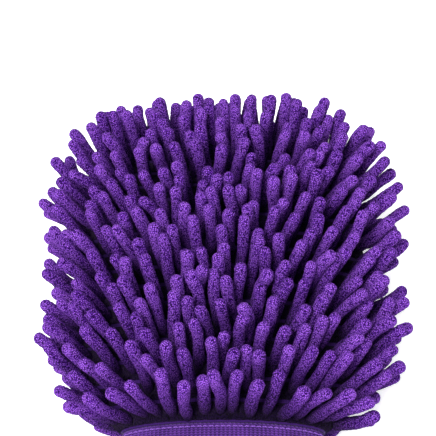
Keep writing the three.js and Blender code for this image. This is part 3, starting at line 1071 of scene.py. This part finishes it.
def webbing_material():
    """Woven tape with diagonal ribs and a fine weft across them."""
    m = Nodes("herringbone_webbing")
    chevron = m.wave("DIAGONAL", 1.5 * MM)
    weft = m.wave("Y", 0.9 * MM, 0.4)
    fibre = m.noise(1400, 2)
    shade = m.weighted((chevron, 0.45), (weft, 0.3), (fibre, 0.25))
    colour = m.ramp(shade, [(0.2, (0.20, 0.08, 0.34)), (0.8, (0.42, 0.24, 0.62))])
    return m.finish(colour, shade, 0.25 * MM, 0.8, sheen=0.1)


def label_material():
    """Blank white satin ribbon with fine warp lines."""
    m = Nodes("white_satin_ribbon")
    warp = m.wave("Y", 0.55 * MM, 0.2)
    fibre = m.noise(1500, 2)
    shade = m.weighted((warp, 0.7), (fibre, 0.3))
    colour = m.ramp(shade, [(0.2, (0.66, 0.65, 0.64)), (0.8, (0.78, 0.77, 0.76))])
    return m.finish(colour, warp, 0.05 * MM, 0.42)


def build_materials():
    materials = {slot: woven_material(*weave) for slot, weave in WEAVES.items()}
    materials["chenille"] = chenille_material()
    materials["foam"] = foam_material()
    materials["rib_knit"] = knit_material()
    materials["sewing_thread"] = thread_material()
    materials["webbing"] = webbing_material()
    materials["label_satin"] = label_material()
    return materials


# --- studio ---

def add_camera():
    """Looks along +Y from above the cuff, down at the front face."""
    elevation = math.radians(CAMERA_ELEVATION)
    aim = Vector(CAMERA_AIM)
    camera_data = bpy.data.cameras.new("camera")
    camera_data.sensor_width = 36
    camera_data.lens = CAMERA_LENS
    camera = bpy.data.objects.new("camera", camera_data)
    bpy.context.scene.collection.objects.link(camera)
    back = Vector((0, -math.cos(elevation), math.sin(elevation)))
    camera.location = aim + back * CAMERA_DISTANCE
    camera.rotation_euler = (aim - camera.location).to_track_quat("-Z", "Y").to_euler()
    bpy.context.scene.camera = camera


def add_soft_light(name, toward, strength, softness):
    """A very wide, distant light, so that the whole floor is lit alike."""
    light = bpy.data.lights.new(name, "SUN")
    light.energy = strength
    light.angle = math.radians(softness)
    lamp = bpy.data.objects.new(name, light)
    bpy.context.scene.collection.objects.link(lamp)
    lamp.rotation_euler = (-Vector(toward)).to_track_quat("-Z", "Y").to_euler()


def add_world():
    """A dim even dome of light that the camera sees as white."""
    world = bpy.data.worlds.new("studio")
    world.use_nodes = True
    tree = world.node_tree
    dome = tree.nodes["Background"]
    dome.inputs["Color"].default_value = (1, 1, 1, 1)
    dome.inputs["Strength"].default_value = DOME_LIGHT
    backdrop = tree.nodes.new("ShaderNodeBackground")
    backdrop.inputs["Color"].default_value = (1, 1, 1, 1)
    rays = tree.nodes.new("ShaderNodeLightPath")
    mix = tree.nodes.new("ShaderNodeMixShader")
    tree.links.new(rays.outputs["Is Camera Ray"], mix.inputs[0])
    tree.links.new(dome.outputs[0], mix.inputs[1])
    tree.links.new(backdrop.outputs[0], mix.inputs[2])
    tree.links.new(mix.outputs[0], tree.nodes["World Output"].inputs["Surface"])
    bpy.context.scene.world = world


def add_floor():
    """White paper, which glows a little so that it stays white."""
    corners = FLOOR_HALF_SIZE * np.array([[-1, -1, 0], [1, -1, 0], [1, 1, 0], [-1, 1, 0]], float)
    floor = bpy.data.objects.new("floor", make_mesh("floor", corners, [np.array([[0, 1, 2, 3]])]))
    bpy.context.scene.collection.objects.link(floor)
    paper = Nodes("white_paper")
    grain = paper.noise(300, 2)
    colour = paper.ramp(grain, [(0.0, (0.955, 0.955, 0.955)), (1.0, (0.97, 0.97, 0.97))])
    paper.shader.inputs["Emission Color"].default_value = (1, 1, 1, 1)
    paper.shader.inputs["Emission Strength"].default_value = FLOOR_GLOW
    floor.data.materials.append(paper.finish(colour, grain, 0.02 * MM, 0.9))


def add_studio():
    for light in LIGHTS:
        add_soft_light(*light)
    add_world()
    add_floor()
    bpy.context.scene.view_settings.view_transform = "Standard"


# --- build ---

add_camera()
add_studio()
materials = build_materials()
build_chenille(materials["chenille"])
build_panels(materials)
build_cuff(materials["rib_knit"])
band("woven_elastic", ELASTIC_DEPTHS, ELASTIC_YS, materials["elastic"],
     "cuff_elastic", 0.1 * MM)
band("seam_binding_tape", BINDING_DEPTHS, BINDING_YS, materials["binding_tape"],
     "cuff_seam_binding", 0.08 * MM)
build_threads(materials["sewing_thread"])
build_loop(materials["webbing"])
build_label(materials["label_satin"])
build_side_seam(materials["sewing_thread"])
